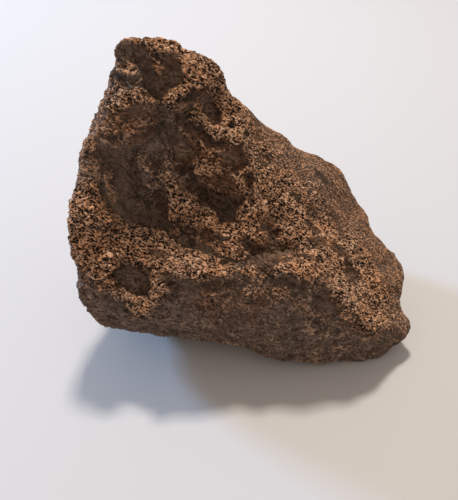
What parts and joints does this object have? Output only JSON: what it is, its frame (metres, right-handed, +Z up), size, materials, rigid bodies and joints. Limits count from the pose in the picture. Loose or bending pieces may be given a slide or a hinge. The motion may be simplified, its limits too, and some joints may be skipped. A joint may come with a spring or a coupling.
{
  "type": "lava rock",
  "caption": "Brown vesicular lava rock: a blunt crown over a hollowed front, a pitted slope down to one side, and a flat face to rest on.",
  "frame": {"origin": "on the ground, under the middle of the stone's box", "axes": "+Z up, +X along the stone from the crown's side to its low end, -Y the broken front with its hollows"},
  "size_m": [0.164, 0.117, 0.144],
  "materials": {
    "basalt": "matt, porous, brown with rusty and tan patches"
  },
  "bodies": {
    "root": {"lava_rock": "basalt"}
  },
  "joints": []
}
